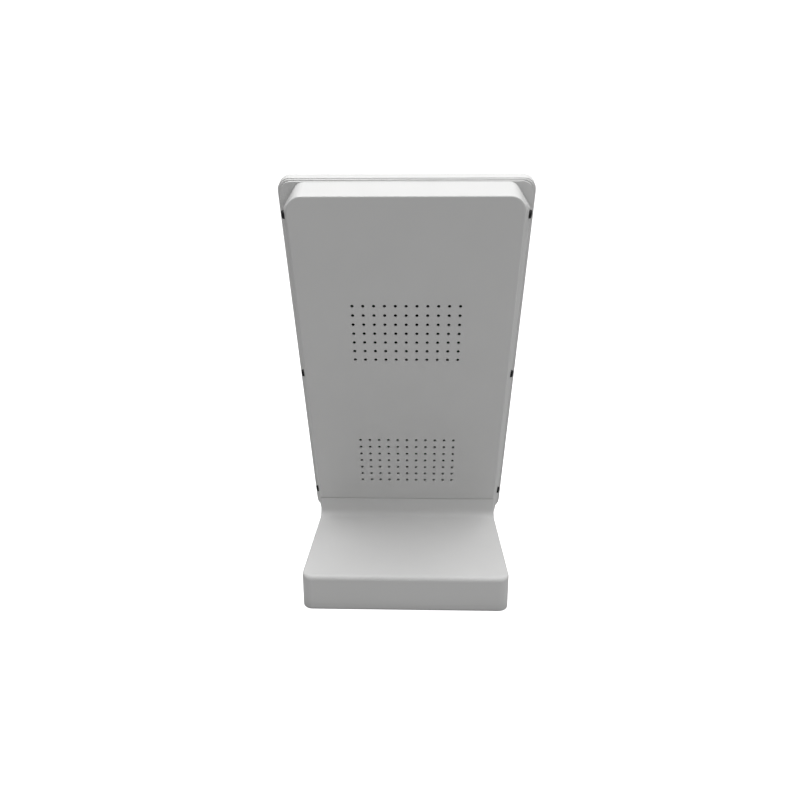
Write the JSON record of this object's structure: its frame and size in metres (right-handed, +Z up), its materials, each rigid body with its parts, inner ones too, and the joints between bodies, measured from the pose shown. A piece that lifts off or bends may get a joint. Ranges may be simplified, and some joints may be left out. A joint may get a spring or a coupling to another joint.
{
  "type": "countertop payment terminal",
  "caption": "Countertop payment terminal: portrait touch screen head leaning back on a flat weighted foot, vented rear cover, sprung power button.",
  "frame": {"origin": "on the counter, midway along the overall width and length", "axes": "+Z up, the screen faces -Y and leans back towards +Y, +X to the user's right"},
  "size_m": [0.227, 0.211, 0.4105],
  "materials": {
    "shell_metal": "matte white powder coat over sheet steel",
    "shell_plastic": "matte white moulded plastic",
    "cover_glass": "clear glass with a black printed border, glossy",
    "bonding_tape": "black foam tape",
    "panel": "dark display module in a thin metal frame",
    "plated_steel": "zinc plated sheet steel",
    "black_screw": "black oxide screws",
    "circuit_board": "green solder mask",
    "chip": "black epoxy packages",
    "socket_plastic": "natural nylon connectors",
    "black_aluminium": "black anodised aluminium",
    "black_plastic": "black moulded plastic",
    "reader_blue": "blue antenna board",
    "ribbon": "flat polyester ribbon",
    "cable_sheath": "black cable sheath",
    "rubber": "black rubber",
    "ballast": "plain steel block",
    "button_metal": "satin anodised aluminium"
  },
  "bodies": {
    "terminal": {"front_bezel": "shell_plastic", "cover_glass": "cover_glass", "glass_tape": "bonding_tape", "display_panel": "panel", "panel_rails": "plated_steel", "panel_ribbon": "ribbon", "mid_frame": "shell_metal", "chassis_plate": "plated_steel", "bezel_screws": "plated_steel", "rear_cover": "shell_metal", "cover_screws": "black_screw", "head_anchor": "plated_steel", "main_board": "circuit_board", "main_board_standoffs": "plated_steel", "main_board_screws": "plated_steel", "main_board_chips": "chip", "main_board_sockets": "socket_plastic", "heat_sink": "black_aluminium", "power_board": "circuit_board", "power_board_standoffs": "plated_steel", "power_board_screws": "plated_steel", "power_board_parts": "chip", "speaker_left": "black_plastic", "speaker_right": "black_plastic", "touch_board": "circuit_board", "camera_module": "black_plastic", "code_scanner": "black_plastic", "card_reader": "reader_blue", "button_bracket": "plated_steel", "button_switch": "black_plastic", "link_cable": "cable_sheath", "cable_grommet": "rubber", "neck_bracket": "plated_steel", "neck_bolts": "plated_steel", "bracket_screws": "plated_steel", "foot_shell": "shell_plastic", "floor_plate": "plated_steel", "floor_screws": "plated_steel", "ballast_block": "ballast", "ballast_screws": "plated_steel", "cable_bay": "black_plastic", "jack_board": "circuit_board", "jack_board_pillars": "plated_steel", "jack_board_screws": "plated_steel", "cable_header": "socket_plastic", "power_inlet": "black_plastic", "network_jack": "plated_steel", "usb_jack": "plated_steel", "rubber_feet": "rubber"},
    "button": {"power_button": "button_metal"}
  },
  "joints": [
    {"name": "power_button_press", "type": "slide", "parent": "terminal", "child": "button", "axis": [0, 0.3987, 0.9171], "range_m": [0, 0.0012], "stiffness_N_per_m": 800, "springref_m": -0.0005}
  ]
}
